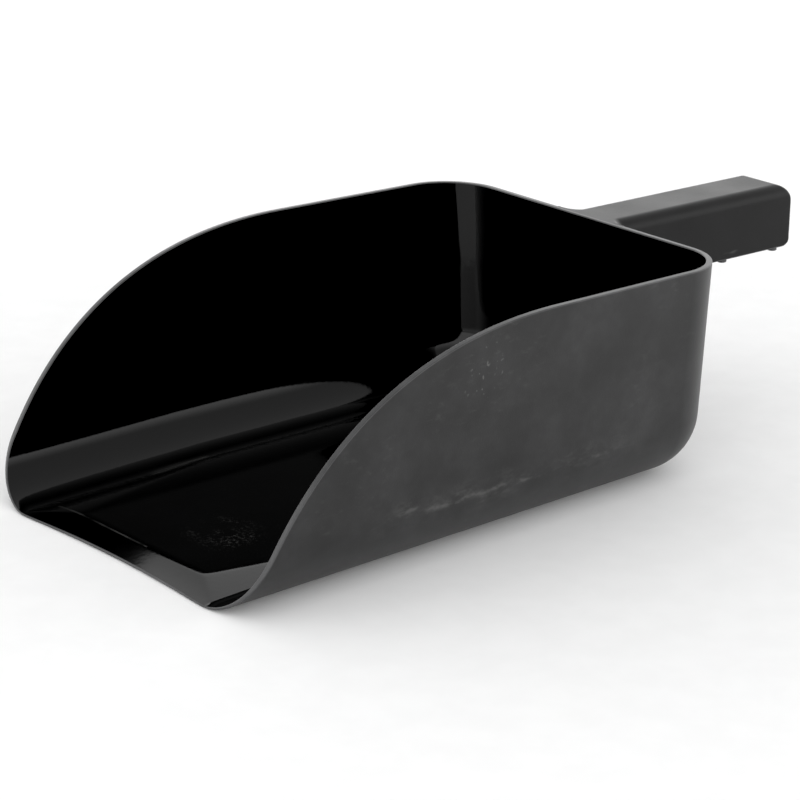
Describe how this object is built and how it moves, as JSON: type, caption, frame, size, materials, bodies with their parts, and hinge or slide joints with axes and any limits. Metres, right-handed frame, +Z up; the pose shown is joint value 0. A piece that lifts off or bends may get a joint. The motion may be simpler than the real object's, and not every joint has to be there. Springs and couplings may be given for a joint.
{
  "type": "feed scoop",
  "caption": "Open-mouthed moulded scoop with a flat floor, rounded corners, side walls that sweep down to a thin front lip, and a hollow box-section handle.",
  "frame": {"origin": "bottom centre of the whole scoop's box, on the surface that it stands on", "axes": "+Z up, +Y from the mouth to the end of the handle, +X to the right as seen from the mouth"},
  "size_m": [0.168, 0.34, 0.0874],
  "materials": {
    "black_plastic": "satin outside, glossier inside the bowl"
  },
  "bodies": {
    "root": {"bowl_floor": "black_plastic", "front_lip": "black_plastic", "left_floor_radius": "black_plastic", "right_floor_radius": "black_plastic", "back_floor_radius": "black_plastic", "left_wall": "black_plastic", "right_wall": "black_plastic", "back_wall": "black_plastic", "left_back_corner": "black_plastic", "right_back_corner": "black_plastic", "handle_root": "black_plastic", "handle_top": "black_plastic", "handle_left_side": "black_plastic", "handle_right_side": "black_plastic", "handle_end": "black_plastic", "handle_ribs": "black_plastic", "handle_ejector_pads": "black_plastic"}
  },
  "joints": []
}
